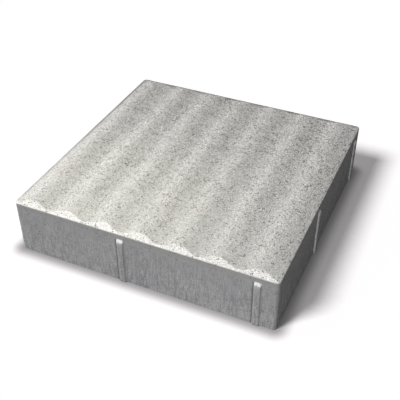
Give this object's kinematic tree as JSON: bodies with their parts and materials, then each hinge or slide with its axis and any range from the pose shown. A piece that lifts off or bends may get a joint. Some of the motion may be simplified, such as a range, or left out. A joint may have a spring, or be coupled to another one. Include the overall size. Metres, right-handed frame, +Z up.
{
  "type": "guidance paving slab",
  "caption": "Square concrete paving slab with a waved top face for tactile guidance, a bevelled edge round it and spacer nibs on the sides.",
  "frame": {"origin": "centre of the bed face, on the ground plane", "axes": "+X across the waves to the right, +Y along the waves to the back, +Z up through the thickness"},
  "size_m": [0.355, 0.355, 0.08],
  "materials": {
    "concrete": "matte"
  },
  "bodies": {
    "root": {"paving_slab": "concrete"}
  },
  "joints": []
}
